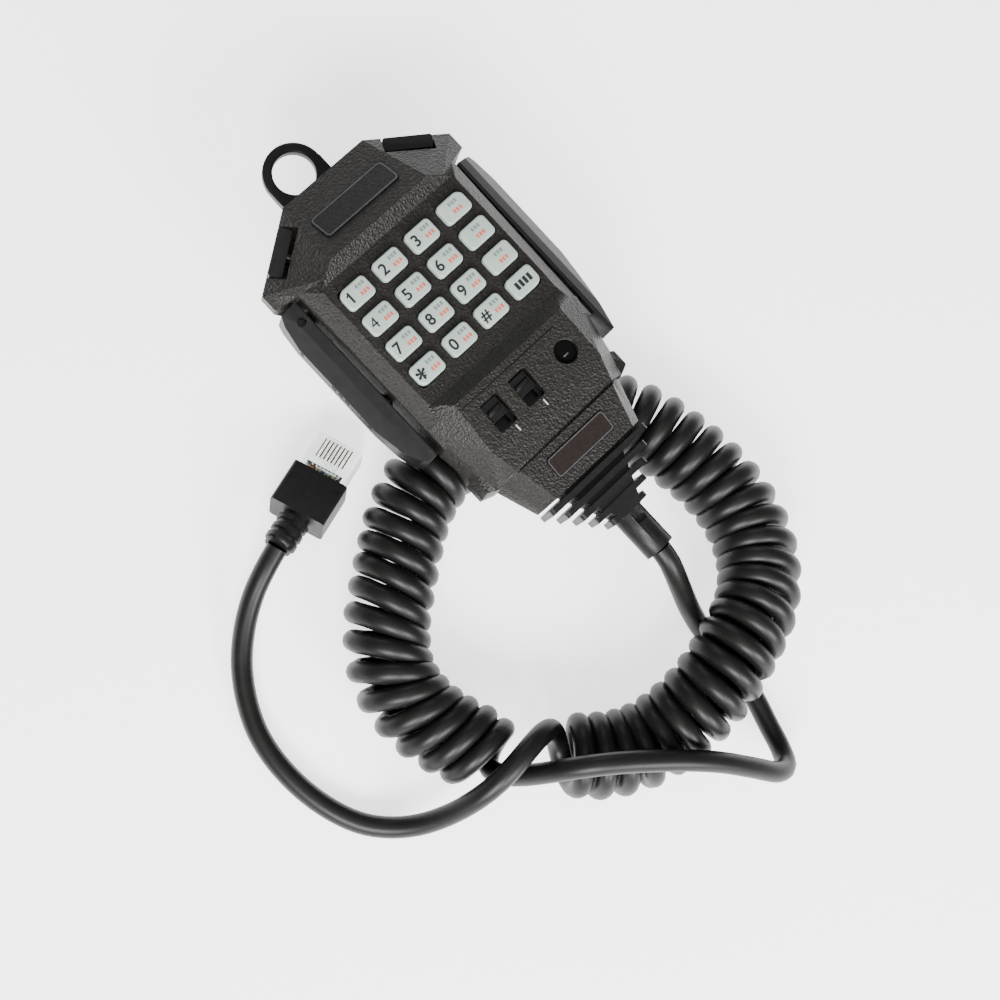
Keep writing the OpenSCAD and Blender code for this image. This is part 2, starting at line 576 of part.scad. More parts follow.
module plug_boot() color(JACKET) at_plug() difference() {
    union() {
        translate([0, boot_front, 3]) rotate([90, 0, 0]) linear_extrude(boot_front - boot_rear)
            rounded(14.4, 9.2, 1);
        translate([0, 0, 3.2]) bar_y(relief_end, boot_rear + 1, 3.4);
        for (y = [-23.6, -26.2, -28.8]) translate([0, 0, 3.2]) bar_y(y - 0.6, y + 0.6, 4);
    }
    translate([-plug_w / 2 - 0.1, -plug_l - 0.1, -0.1]) cube([plug_w + 0.2, 20, plug_h + 0.2]);
    translate([-2.4, -plug_l, -3]) cube([4.8, 20, 4]);
}

// ---- The assembly ----

front_cover();
rear_cover();
grip_strip();
badge_plate();
label_plate();
hang_ring();
ring_screws();
hanger_stud();
stud_screw();
case_screws();
keypad_mat();
main_board();
controller_chip();
mic_capsule();
mic_boot();
ptt_bar();
ptt_pin();
ptt_plunger();
ptt_switch();
ptt_switch_button();
up_button();
down_button();
up_switch();
down_switch();
slide_switch(switch_x1);  // slide_switch_left
slide_switch(switch_x2);  // slide_switch_right
slide_knob(switch_x1);  // slide_knob_left
slide_knob(switch_x2);  // slide_knob_right
strain_relief();
cord_core();
cord_clamp();
clamp_screws();
cord_header();
header_wires();
cord_lead();
cord_coil();
cord_tail();
plug_boot();
plug_body();
plug_contacts();
plug_wires();
plug_latch();
for (i = [0:15]) key_cap(i);
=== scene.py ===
"""Looks of a hand microphone with a keypad, a curly cord and a modular plug."""
import logging
import math
from dataclasses import dataclass, field
from enum import Enum
from functools import lru_cache
from typing import Callable, Sequence

import bmesh
import bpy
from mathutils import Matrix, Vector
from mathutils.bvhtree import BVHTree

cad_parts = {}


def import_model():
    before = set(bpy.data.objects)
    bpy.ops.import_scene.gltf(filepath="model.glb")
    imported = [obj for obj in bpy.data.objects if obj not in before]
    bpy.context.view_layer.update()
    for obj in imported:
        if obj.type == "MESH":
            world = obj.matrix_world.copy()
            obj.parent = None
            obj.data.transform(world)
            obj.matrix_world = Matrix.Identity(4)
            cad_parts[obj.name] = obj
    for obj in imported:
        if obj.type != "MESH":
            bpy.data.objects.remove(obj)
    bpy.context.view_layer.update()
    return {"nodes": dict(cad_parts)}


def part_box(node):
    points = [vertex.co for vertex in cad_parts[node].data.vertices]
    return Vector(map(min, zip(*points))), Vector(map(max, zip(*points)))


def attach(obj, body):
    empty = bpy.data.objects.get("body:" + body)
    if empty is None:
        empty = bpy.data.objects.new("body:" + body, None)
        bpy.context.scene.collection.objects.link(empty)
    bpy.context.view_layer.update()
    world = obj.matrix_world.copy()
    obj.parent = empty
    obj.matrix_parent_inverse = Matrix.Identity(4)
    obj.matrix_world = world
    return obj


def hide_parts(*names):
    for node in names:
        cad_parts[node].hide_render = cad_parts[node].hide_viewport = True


LOG = logging.getLogger("hand_microphone")
MM = 0.001
BODY_Y = 12.625  # from the keypad's middle to the frame's origin, in millimetres
FACE_Z = 43.0  # height of the key tops, in millimetres
HOUSING = "housing"
SWITCHES = (("left", -10.2), ("right", -1.3))  # each slide switch and its place across the shelf
SHELF_Y = -30.0  # middle of the switches and the port along the body, in millimetres
PORT_X = 11.5  # middle of the port across the shelf, in millimetres

Point = Sequence[float]


# ---------------------------------------------------------------- small helpers


def srgb(code: str, alpha: float = 1.0) -> tuple[float, float, float, float]:
    """Turns an sRGB hex colour such as "#2b2b2c" into a linear colour."""
    parts = [int(code[i:i + 2], 16) / 255 for i in (1, 3, 5)]
    linear = [p / 12.92 if p <= 0.04045 else ((p + 0.055) / 1.055) ** 2.4 for p in parts]
    return linear[0], linear[1], linear[2], alpha


def mm(x: float, y: float, z: float) -> Vector:
    """Gives a point in metres from millimetres in the finished frame."""
    return Vector((x, y, z)) * MM


def face(x: float, y: float, z: float) -> Vector:
    """Gives a point in metres from millimetres measured round the keypad's middle."""
    return Vector((x, y + BODY_Y, z)) * MM


def per_mm(size: float) -> float:
    """Gives the texture scale whose cells measure size millimetres."""
    return 1000.0 / size


def add_node(tree: bpy.types.NodeTree, kind: str, settings: dict | None = None,
             links: dict | None = None) -> bpy.types.Node:
    """Adds a node to a material, sets it and links it.

    Args:
        tree: The material's node tree.
        kind: The node's type name.
        settings: Attribute or input name to value.
        links: Input name to a pair of node and output name.

    Returns:
        The new node.
    """
    node = tree.nodes.new(kind)
    for name, value in (settings or {}).items():
        if hasattr(node, name):
            setattr(node, name, value)
        else:
            node.inputs[name].default_value = value
    for name, (source, output) in (links or {}).items():
        tree.links.new(source.outputs[output], node.inputs[name])
    return node


def ramp(node: bpy.types.Node, stops: Sequence[tuple[float, str]], constant: bool = False) -> None:
    """Gives a colour ramp its stops, from pairs of position and hex colour."""
    band = node.color_ramp
    band.interpolation = "CONSTANT" if constant else "LINEAR"
    while len(band.elements) < len(stops):
        band.elements.new(0.5)
    for element, (place, code) in zip(band.elements, stops):
        element.position = place
        element.color = srgb(code)


# ---------------------------------------------------------------- finishes


@dataclass(frozen=True)
class Finish:
    """A plain moulded plastic, with a slight mottle that breaks up its gloss."""

    name: str
    colour: str
    shade: str
    roughness: float = 0.45
    spread: float = 0.08
    mottle: float = 3.0
    grain: float = 0.0
    relief: float = 0.0
    metallic: float = 0.0
    specular: float = 0.5
    glow: float = 0.0
    ior: float = 1.5

    def shader(self, tree: bpy.types.NodeTree) -> bpy.types.Node:
        """Adds the surface shader with the values that are the same all over."""
        return add_node(tree, "ShaderNodeBsdfPrincipled", {
            "Metallic": self.metallic, "Specular IOR Level": self.specular,
            "Emission Strength": self.glow, "IOR": self.ior})

    def pattern(self, tree: bpy.types.NodeTree, place: bpy.types.Node) -> tuple[bpy.types.Node, str]:
        """Adds the pattern that shifts the colour, and returns its node and output."""
        node = add_node(tree, "ShaderNodeTexNoise", {"Scale": per_mm(self.mottle), "Detail": 4.0},
                        {"Vector": (place, "Object")})
        return node, "Fac"

    def height(self, tree: bpy.types.NodeTree, place: bpy.types.Node) -> tuple[bpy.types.Node, str]:
        """Adds the pattern that raises the surface, and returns its node and output."""
        node = add_node(tree, "ShaderNodeTexNoise", {"Scale": per_mm(self.grain), "Detail": 2.0},
                        {"Vector": (place, "Object")})
        return node, "Fac"

    def build(self) -> bpy.types.Material:
        """Builds the material and returns it."""
        material = bpy.data.materials.new(self.name)
        material.use_nodes = True
        tree = material.node_tree
        tree.nodes.clear()
        place = add_node(tree, "ShaderNodeTexCoord")
        source, output = self.pattern(tree, place)
        tint = add_node(tree, "ShaderNodeValToRGB", {}, {"Fac": (source, output)})
        ramp(tint, [(0.3, self.shade), (0.7, self.colour)])
        rough = add_node(tree, "ShaderNodeMapRange", {
            "To Min": self.roughness - self.spread, "To Max": self.roughness + self.spread},
            {"Value": (source, output)})
        shader = self.shader(tree)
        tree.links.new(tint.outputs["Color"], shader.inputs["Base Color"])
        tree.links.new(rough.outputs["Result"], shader.inputs["Roughness"])
        if self.grain:
            bumps, height = self.height(tree, place)
            bump = add_node(tree, "ShaderNodeBump", {"Strength": 1.0, "Distance": self.relief * MM},
                            {"Height": (bumps, height)})
            tree.links.new(bump.outputs["Normal"], shader.inputs["Normal"])
        add_node(tree, "ShaderNodeOutputMaterial", {}, {"Surface": (shader, "BSDF")})
        return material


@dataclass(frozen=True)
class GrainedAbs(Finish):
    """ABS moulded in a spark-eroded tool: a leather grain whose crests catch the light."""

    def height(self, tree: bpy.types.NodeTree, place: bpy.types.Node) -> tuple[bpy.types.Node, str]:
        """Adds rounded cells of the grain's size, mixed with a finer noise."""
        cells = add_node(tree, "ShaderNodeTexVoronoi", {
            "feature": "SMOOTH_F1", "Scale": per_mm(self.grain), "Smoothness": 0.6},
            {"Vector": (place, "Object")})
        fine = add_node(tree, "ShaderNodeTexNoise", {"Scale": per_mm(self.grain * 0.7), "Detail": 3.0},
                        {"Vector": (place, "Object")})
        both = add_node(tree, "ShaderNodeMath", {"operation": "MULTIPLY"})
        tree.links.new(cells.outputs["Distance"], both.inputs[0])
        tree.links.new(fine.outputs["Fac"], both.inputs[1])
        return both, "Value"


@dataclass(frozen=True)
class ClearPlastic(Finish):
    """Injection-moulded polycarbonate, clear with faint flow marks."""

    def shader(self, tree: bpy.types.NodeTree) -> bpy.types.Node:
        """Adds a shader that lets the light through."""
        return add_node(tree, "ShaderNodeBsdfPrincipled", {
            "Transmission Weight": 1.0, "IOR": self.ior})


@dataclass(frozen=True)
class WireSet(Finish):
    """PVC insulation of eight thin wires side by side, each with its own colour."""

    across: tuple[float, float, float] = (1.0, 0.0, 0.0)
    start: float = 0.0
    width: float = 9.0

    def pattern(self, tree: bpy.types.NodeTree, place: bpy.types.Node) -> tuple[bpy.types.Node, str]:
        """Measures how far across the wires a point lies, from 0 to 1."""
        dot = add_node(tree, "ShaderNodeVectorMath", {"operation": "DOT_PRODUCT"})
        tree.links.new(place.outputs["Object"], dot.inputs[0])
        dot.inputs[1].default_value = self.across
        share = add_node(tree, "ShaderNodeMapRange", {
            "From Min": self.start * MM, "From Max": (self.start + self.width) * MM},
            {"Value": (dot, "Value")})
        return share, "Result"

    def build(self) -> bpy.types.Material:
        """Builds the material, with one step of the ramp for each wire."""
        material = super().build()
        colours = ["#e9a46a", "#d8722a", "#b9d3a8", "#4f78b8", "#dfe4ea", "#5f9a54", "#d9c3a8", "#8a5a3a"]
        band = next(n for n in material.node_tree.nodes if n.type == "VALTORGB")
        ramp(band, [(i / 8, code) for i, code in enumerate(colours)], constant=True)
        return material


# The coarse grain of the front: crests catch the side light, so black reads as warm grey.
SHELL = GrainedAbs("ABS_leather_grain", "#221f1b", "#0d0c0b", 0.43, 0.1, 0.6, 0.6, 0.3, specular=0.32)
# A finer and flatter grain, so the back looks quieter than the front.
BACK = GrainedAbs("ABS_fine_grain", "#242321", "#171615", 0.5, 0.08, 0.6, 0.5, 0.12, specular=0.3)
# Plain satin black for the bar and the small moulded lips.
SMOOTH = Finish("ABS_satin", "#131314", "#0d0d0e", 0.42, 0.06, 2.4, 0.35, 0.03, specular=0.22)
# Softer black, with a broad dull highlight on the fins, the strip and the boot.
RUBBER = Finish("Moulded_rubber", "#151414", "#0e0e0e", 0.44, 0.07, 1.8, 0.3, 0.03, specular=0.3)
# Satin cord: a long thin highlight along each turn.
JACKET = Finish("PVC_cord_jacket", "#121211", "#0d0d0c", 0.42, 0.05, 6.0, 0.5, 0.012, specular=0.27)
# Pale mint grey with a soft sheen.
KEY = Finish("Silk_screened_key_ABS", "#aab8b0", "#a3b1a9", 0.34, 0.05, 2.0, 0.3, 0.004)
# Nearly black figures.
INK_DARK = Finish("Dark_key_ink", "#14171a", "#101214", 0.5, 0.05, 0.8)
# Faint grey upper marks.
INK_GREY = Finish("Grey_key_ink", "#76837f", "#6b7774", 0.5, 0.05, 0.8)
# Warm red lower marks.
INK_RED = Finish("Red_key_ink", "#cf6a55", "#c45c48", 0.5, 0.05, 0.8)
# Off-white ticks beside the switches.
INK_WHITE = Finish("White_mark_ink", "#c8c8c4", "#b8b8b4", 0.5, 0.05, 0.8)
# Darker than the shell, with a sparkle of fine grain.
BADGE = GrainedAbs("Badge_lacquer", "#161617", "#0a0a0b", 0.36, 0.1, 0.6, 0.5, 0.12, specular=0.35)
# A thin grey line that frames the plates; also the painted highlight in the port's slot.
LINE_AND_HIGHLIGHT_GREY = Finish("Grey_badge_line_and_painted_highlight", "#57575a", "#48484b", 0.35, 0.06, 1.2, 0.0, 0.0, 0.2)
# Brown-black blank label.
LABEL = Finish("Label_lacquer", "#211815", "#181210", 0.36, 0.06, 0.8, 0.4, 0.02, specular=0.35)
# Deep black, glossy enough to show the ridges.
KNOB = Finish("Nylon_knob", "#0c0c0c", "#080808", 0.34, 0.05, 1.6, 0.3, 0.01, specular=0.3)
# Unlit black for the bottom of recesses.
PIT = Finish("Shaded_recess_ABS", "#060606", "#040404", 0.6, 0.05, 1.6, specular=0.08)
# Bright grey metal of the screws and the stud.
STEEL = Finish("Zinc_plated_steel", "#b9bcc0", "#a4a7ab", 0.34, 0.08, 0.9, 0.2, 0.004, 1.0)
# Dark metal of the hinge pin and the switch frames.
BLACKED = Finish("Blackened_steel", "#1c1c1d", "#131314", 0.38, 0.06, 0.9, 0.2, 0.004, 0.6)
# Green circuit board.
BOARD = Finish("Solder_mask", "#2f5a3c", "#264b31", 0.35, 0.06, 4.0, 0.6, 0.01)
# Milky white plastic.
ACETAL = Finish("Natural_acetal", "#dcdad2", "#cfcdc4", 0.42, 0.05, 2.0, 0.4, 0.005)
# Dull red switch button.
RED_NYLON = Finish("Red_nylon", "#7c3b34", "#6a302a", 0.42, 0.05, 2.0, 0.4, 0.005)
# Yellow comb of contacts in the plug.
GOLD = Finish("Gold_plated_contact", "#f2bd55", "#e2a93f", 0.3, 0.06, 0.5, 0.2, 0.003, 1.0)
# Water-clear plug with light flow marks.
CLEAR = ClearPlastic("Clear_polycarbonate", "#f4f8f8", "#eaf0f0", 0.06, 0.03, 2.5, 1.2, 0.01, ior=1.58)
# Red insulation inside the case.
WIRE = Finish("Red_wire_insulation", "#a33a34", "#8c2f2a", 0.4, 0.05, 1.0)
# An even, nearly white ground.
PAPER = Finish("White_sweep", "#fafafa", "#f8f8f8", 0.8, 0.02, 400.0, specular=0.0, glow=2.0)


@lru_cache(maxsize=None)
def material(finish: Finish) -> bpy.types.Material:
    """Gives a finish's material, built once."""
    return finish.build()


def dress(piece: bpy.types.Object, *finishes: Finish) -> None:
    """Puts finishes in a piece's material slots, in order."""
    mesh = piece.data
    if len(finishes) == 1:
        for index in range(max(1, len(mesh.materials))):
            if index < len(mesh.materials):
                mesh.materials[index] = material(finishes[0])
            else:
                mesh.materials.append(material(finishes[0]))
        return
    mesh.materials.clear()
    for finish in finishes:
        mesh.materials.append(material(finish))


# ---------------------------------------------------------------- bench work


def pick(*objects: bpy.types.Object) -> None:
    """Selects only these objects, the last one active."""
    if bpy.context.object and bpy.context.object.mode != "OBJECT":
        bpy.ops.object.mode_set(mode="OBJECT")
    bpy.ops.object.select_all(action="DESELECT")
    for item in objects:
        item.select_set(True)
    bpy.context.view_layer.objects.active = objects[-1]


def select_edges(piece: bpy.types.Object, wanted: Callable[[bmesh.types.BMEdge], bool]) -> int:
    """Goes into edit mode and selects the edges that a test wants.

    Args:
        piece: The object, which must be picked.
        wanted: The test of an edge.

    Returns:
        How many edges were selected.
    """
    bpy.ops.object.mode_set(mode="EDIT")
    bpy.ops.mesh.select_mode(type="EDGE")
    bpy.ops.mesh.select_all(action="DESELECT")
    work = bmesh.from_edit_mesh(piece.data)
    count = 0
    for edge in work.edges:
        if wanted(edge):
            edge.select = True
            count += 1
    bmesh.update_edit_mesh(piece.data)
    return count


def finish_edit(angle: float = 32.0, weighted: bool = False) -> None:
    """Leaves edit mode and shades the active piece smooth below an angle.

    Args:
        angle: The largest angle in degrees that is shaded smooth.
        weighted: Whether large faces keep their own look beside a rounding.
    """
    bpy.ops.object.mode_set(mode="OBJECT")
    bpy.ops.object.shade_smooth_by_angle(angle=math.radians(angle))
    if weighted:
        item = bpy.context.object
        even = item.modifiers.new("even", "WEIGHTED_NORMAL")
        even.keep_sharp = True
        even.weight = 100
        bpy.ops.object.modifier_apply(modifier=even.name)


def settle(piece: bpy.types.Object) -> bpy.types.Object:
    """Applies a piece's place, turn and size to its mesh."""
    pick(piece)
    bpy.ops.object.transform_apply(location=True, rotation=True, scale=True)
    return piece


def hold(piece: bpy.types.Object, name: str, body: str, slot: str, *nodes: str) -> bpy.types.Object:
    """Names a piece, puts it on the body that it rides on, and hides the nodes that it replaces.

    Args:
        piece: The finished piece.
        name: Its name.
        body: The body that it rides on.
        slot: Not used.
        nodes: The nodes that it replaces.

    Returns:
        The piece.
    """
    piece.name = name
    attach(piece, body)
    if nodes:
        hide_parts(*nodes)
    LOG.info("piece %s: %d faces", name, len(piece.data.polygons) if piece.type == "MESH" else 0)
    return piece


def sharpness(edge: bmesh.types.BMEdge) -> float:
    """Gives the angle in degrees between an edge's two faces."""
    if len(edge.link_faces) != 2:
        return 0.0
    return math.degrees(edge.calc_face_angle(0.0))


def middle(edge: bmesh.types.BMEdge) -> Vector:
    """Gives an edge's middle, in millimetres round the keypad's middle."""
    point = (edge.verts[0].co + edge.verts[1].co) / 2 / MM
    return point - Vector((0, BODY_Y, 0))


def copy_of(node: bpy.types.Object) -> bpy.types.Object:
    """Copies a CAD node's mesh as a new piece, merged, with its flat facets joined."""
    mesh = node.data.copy()
    mesh.transform(node.matrix_world)
    piece = bpy.data.objects.new(node.name + "_copy", mesh)
    bpy.context.scene.collection.objects.link(piece)
    pick(piece)
    bpy.ops.object.mode_set(mode="EDIT")
    bpy.ops.mesh.select_all(action="SELECT")
    bpy.ops.mesh.remove_doubles(threshold=2e-6)
    bpy.ops.mesh.dissolve_limited(angle_limit=math.radians(0.8))
    bpy.ops.object.mode_set(mode="OBJECT")
    return piece


def soften(piece: bpy.types.Object, width: float, segments: int = 3, angle: float = 22.0,
           shortest: float = 1.2, keep: Callable[[bmesh.types.BMEdge], bool] | None = None) -> None:
    """Rounds a piece's edges.

    Args:
        piece: The piece.
        width: Width of the rounding in millimetres.
        segments: Steps across the rounding.
        angle: Edges flatter than this stay.
        shortest: Edges shorter than this, in millimetres, stay.
        keep: A test that leaves an edge sharp.
    """
    pick(piece)
    count = select_edges(piece, lambda e: sharpness(e) > angle and e.calc_length() > shortest * MM
                         and not (keep and keep(e)))
    if count:
        bpy.ops.mesh.bevel(offset=width * MM, segments=segments, profile=0.6, clamp_overlap=True)
    finish_edit(38.0, weighted=True)


def box_piece(size: Point, place: Vector) -> bpy.types.Object:
    """Adds a cube of a size in millimetres at a place, with its size applied, and returns it."""
    bpy.ops.object.select_all(action="DESELECT")
    bpy.ops.mesh.primitive_cube_add(size=1.0, location=place)
    piece = bpy.context.object
    piece.scale = Vector(size) * MM
    bpy.ops.object.transform_apply(location=False, rotation=False, scale=True)
    return piece


def round_bar(size: Point, place: Vector, edge: float = 0.1) -> bpy.types.Object:
    """Adds a small bar with bevelled edges, and returns it."""
    piece = box_piece(size, place)
    pick(piece)
    select_edges(piece, lambda e: True)
    bpy.ops.mesh.bevel(offset=edge * MM, segments=2)
    finish_edit()
    return piece


def round_frame(width: float, length: float, radius: float, line: float, thick: float) -> bpy.types.Object:
    """Makes a thin raised line round a rounded rectangle, lying at the origin.

    Args:
        width: Size along X in millimetres.
        length: Size along Y.
        radius: Corner radius.
        line: Width of the line.
        thick: Height of the line.

    Returns:
        The frame, not yet placed.
    """
    bpy.ops.object.select_all(action="DESELECT")
    bpy.ops.mesh.primitive_plane_add(size=1.0)
    piece = bpy.context.object
    piece.scale = (width * MM, length * MM, 1)
    bpy.ops.object.transform_apply(location=False, rotation=False, scale=True)
    bpy.ops.object.mode_set(mode="EDIT")
    bpy.ops.mesh.select_all(action="SELECT")
    bpy.ops.mesh.bevel(offset=radius * MM, segments=8, affect="VERTICES")
    bpy.ops.mesh.select_all(action="SELECT")
    bpy.ops.mesh.inset(thickness=line * MM)
    bpy.ops.mesh.delete(type="FACE")
    bpy.ops.mesh.select_all(action="SELECT")
    bpy.ops.object.mode_set(mode="OBJECT")
    wall = piece.modifiers.new("thickness", "SOLIDIFY")
    wall.thickness = thick * MM
    wall.offset = 1.0
    bpy.ops.object.modifier_apply(modifier=wall.name)
    return piece


def join(pieces: Sequence[bpy.types.Object]) -> bpy.types.Object:
    """Joins pieces into the last one and returns it."""
    pick(*pieces)
    if len(pieces) > 1:
        bpy.ops.object.join()
    return bpy.context.object


def clone(piece: bpy.types.Object, shift: Vector) -> bpy.types.Object:
    """Copies a piece with its own mesh, moved by a shift, and returns the copy."""
    mesh = piece.data.copy()
    mesh.transform(Matrix.Translation(shift))
    twin = bpy.data.objects.new(piece.name + "_copy", mesh)
    bpy.context.scene.collection.objects.link(twin)
    return twin


# ---------------------------------------------------------------- curves


def smooth_route(points: Sequence[Point], steps: int = 12) -> list[Vector]:
    """Runs a smooth curve through points given in millimetres.

    Args:
        points: The route's points.
        steps: Steps between two points.

    Returns:
        The curve's points in metres.
    """
    knots = [mm(*p) for p in points]
    out: list[Vector] = []
    for i in range(len(knots) - 1):
        a, b = knots[max(i - 1, 0)], knots[i]
        c, d = knots[i + 1], knots[min(i + 2, len(knots) - 1)]
        for k in range(steps):
            t = k / steps
            out.append(0.5 * (2 * b + (c - a) * t + (2 * a - 5 * b + 4 * c - d) * t * t
                              + (3 * b - a - 3 * c + d) * t ** 3))
    out.append(knots[-1])
    return out


def spaced(points: Sequence[Vector], step: float) -> list[Vector]:
    """Spaces points evenly along a curve, about step metres apart."""
    reach = [0.0]
    for a, b in zip(points, points[1:]):
        reach.append(reach[-1] + (b - a).length)
    count = max(2, round(reach[-1] / step))
    out, j = [], 0
    for i in range(count + 1):
        want = reach[-1] * i / count
        while j < len(reach) - 2 and reach[j + 1] < want:
            j += 1
        share = (want - reach[j]) / max(reach[j + 1] - reach[j], 1e-9)
        out.append(points[j].lerp(points[j + 1], min(max(share, 0.0), 1.0)))
    return out


def route_length(points: Sequence[Vector]) -> float:
    """Adds up a curve's length in metres."""
    return sum((b - a).length for a, b in zip(points, points[1:]))


def along_table(table: Sequence[tuple[float, float]], share: float) -> float:
    """Reads a value at a share of the way from a table of pairs."""
    for (s0, v0), (s1, v1) in zip(table, table[1:]):
        if share <= s1:
            t = (share - s0) / (s1 - s0)
            t = t * t * (3 - 2 * t)
            return v0 + (v1 - v0) * t
    return table[-1][1]


@dataclass
class CurlyCord:
    """The cord: a straight lead, a curly part round the microphone's foot, and a straight tail."""

    thickness: float = 5.3
    lead: tuple[Point, ...] = (
        (0, -66.4, 28), (-0.2, -70, 27), (-0.6, -73.6, 24.4), (-0.8, -77.6, 20.2), (-0.8, -82, 15),
        (-0.4, -87, 9.2), (0, -92.5, 5), (0.3, -98, 3.2), (0.2, -104, 2.7), (-1.2, -112, 2.7),
        (-3.4, -119, 3), (-5.8, -125, 5), (-8.8, -128.2, 8.4), (-12.6, -126.6, 12.6),
        (-17.4, -120.6, 17.6), (-23.2, -113.4, 22), (-29.5, -106.8, 24.8), (-36.2, -100.6, 25.8),
        (-42.2, -95.4, 26), (-47, -91.6, 25.8), (-51.2, -88.6, 23.8), (-54.8, -86.4, 19.6),
        (-57.8, -84.6, 14.4), (-60.8, -82.6, 9.6), (-63.6, -80, 6))
    coil: tuple[Point, ...] = (
        (-60, -75.8, 10.5), (-62.8, -68.6, 10.5), (-65.4, -60, 10.5), (-65.8, -51, 10.5),
        (-63.2, -43, 10.5), (-57.8, -36.2, 10.5), (-51.2, -30.8, 10.5), (-44.2, -25.8, 10.5),
        (-37, -21, 10.5), (-28.6, -17.4, 10.5), (-19, -16, 10.5), (-9, -17.5, 10.5),
        (2, -21.5, 10.5), (12, -27.5, 10.5), (19, -35, 10.5), (23.5, -44, 10.5), (26, -54, 10.5),
        (27.3, -64, 10.6), (26.5, -74, 11.2), (23, -83, 12.6), (17, -90, 14.8), (9.5, -94.5, 17),
        (1, -97.2, 18), (-8, -99.6, 17.4), (-17, -100.8, 15.4), (-26, -100.5, 12.8),
        (-34.5, -98, 11), (-42, -93, 10.5), (-48.5, -87, 10.5))
    tail: tuple[Point, ...] = (
        (-43.8, -79.4, 13.8), (-45.6, -78.2, 17.2), (-48.8, -78, 20.2),
        (-52.8, -78.8, 22.4), (-57.4, -79.6, 23.2), (-62.4, -80, 22.4), (-67.6, -80, 19.4),
        (-72.8, -79.3, 15), (-78, -78, 10.4), (-83.4, -75.6, 6.4), (-88.6, -71.6, 3.8),
        (-93, -66, 2.8), (-96, -58.6, 2.7), (-97.6, -50, 2.7), (-97.6, -41, 2.7), (-96, -33, 2.7),
        (-92.6, -25.6, 2.8), (-87.8, -18.8, 3.6), (-81.8, -13.2, 5.4), (-75.4, -9, 7.8),
        (-69.4, -6.4, 10.3), (-63.9, -4.6, 11.7))
    pitches: tuple[tuple[float, float], ...] = ((0, 5.5), (0.25, 5.6), (0.5, 5.5), (0.8, 5.5), (1, 5.4))
    radii: tuple[tuple[float, float], ...] = (
        (0, 7.9), (0.1, 8.0), (0.25, 7.9), (0.45, 7.6), (0.55, 7.8), (0.72, 7.8), (0.85, 8.1), (1, 8.0))
    leans: tuple[tuple[float, float], ...] = ((0, -0.28), (0.18, -0.22), (0.32, 0.0), (0.7, 0.0), (1, 0.12))
    first_angle: float = 205.0
    last_angle: float = 8.0
    steps_per_turn: int = 28
    helix_length: float = field(default=0.0, init=False)

    def turns_along(self, middle_line: list[Vector]) -> list[Vector]:
        """Winds the left-handed turns round the curly part's middle line."""
        total = route_length(middle_line)
        count = len(middle_line)
        angles = [0.0]
        for i in range(count - 1):
            pitch = along_table(self.pitches, i / count) * MM
            angles.append(angles[-1] + (middle_line[i + 1] - middle_line[i]).length / pitch * 360.0)
        target = 360.0 * round((angles[-1] + self.first_angle - self.last_angle) / 360.0)
        scale = (target - self.first_angle + self.last_angle) / angles[-1]
        points = []
        up = Vector((0, 0, 1))
        samples = int(angles[-1] * scale / 360.0 * self.steps_per_turn)
        j = 0
        for n in range(samples + 1):
            want = angles[-1] * n / samples
            while j < count - 2 and angles[j + 1] < want:
                j += 1
            share = (want - angles[j]) / max(angles[j + 1] - angles[j], 1e-9)
            centre = middle_line[j].lerp(middle_line[j + 1], share)
            ahead = middle_line[min(j + 3, count - 1)] - middle_line[max(j - 2, 0)]
            ahead.normalize()
            inward = ahead.cross(up).normalized()
            rise = inward.cross(ahead).normalized()
            if rise.z < 0:
                rise = -rise
            part = want / angles[-1]
            radius = along_table(self.radii, part) * MM
            lean = along_table(self.leans, part)
            centre = centre + up * max(0.0, radius + self.thickness / 2 * MM + 0.0001 - centre.z)
            phi = math.radians(self.first_angle + want * scale)
            points.append(centre + inward * radius * math.cos(phi) + rise * radius * math.sin(phi)
                          + ahead * lean * radius * math.cos(phi))
        LOG.info("curly part: %.1f turns along %.3f m", angles[-1] * scale / 360.0, total)
        return points

    def path(self) -> list[Vector]:
        """Gives the whole cord's middle line, from the strain relief to the plug."""
        lead = spaced(smooth_route(self.lead), 0.0022)
        coil = self.turns_along(spaced(smooth_route(self.coil), 0.0012))
        tail = spaced(smooth_route(self.tail), 0.0022)
        self.helix_length = route_length(coil)
        whole = lead + coil + tail
        for joint in (len(lead), len(lead) + len(coil)):
            for reach in (17, 15, 13, 11, 9, 7, 5) * 5:
                low, high = joint - reach, joint + reach
                eased = [(whole[i - 1] + whole[i] * 2 + whole[i + 1]) / 4 for i in range(low, high)]
                whole[low:high] = eased
        return whole

    def make(self, with_pieces: Sequence[bpy.types.Object]) -> bpy.types.Object:
        line = self.path()
        curve = bpy.data.curves.new("curly_cord", "CURVE")
        curve.dimensions = "3D"
        spline = curve.splines.new("POLY")
        spline.points.add(len(line) - 1)
        for knot, place in zip(spline.points, line):
            knot.co = (*place, 1.0)
        curve.bevel_depth = self.thickness / 2 * MM
        curve.bevel_resolution = 5
        curve.use_fill_caps = True
        spline.use_smooth = True
        piece = bpy.data.objects.new("curly_cord", curve)
        bpy.context.scene.collection.objects.link(piece)
        curve.materials.append(material(JACKET))
        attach(piece, HOUSING)
        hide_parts("cord_lead", "cord_coil", "cord_tail")
        return piece


# ---------------------------------------------------------------- studio


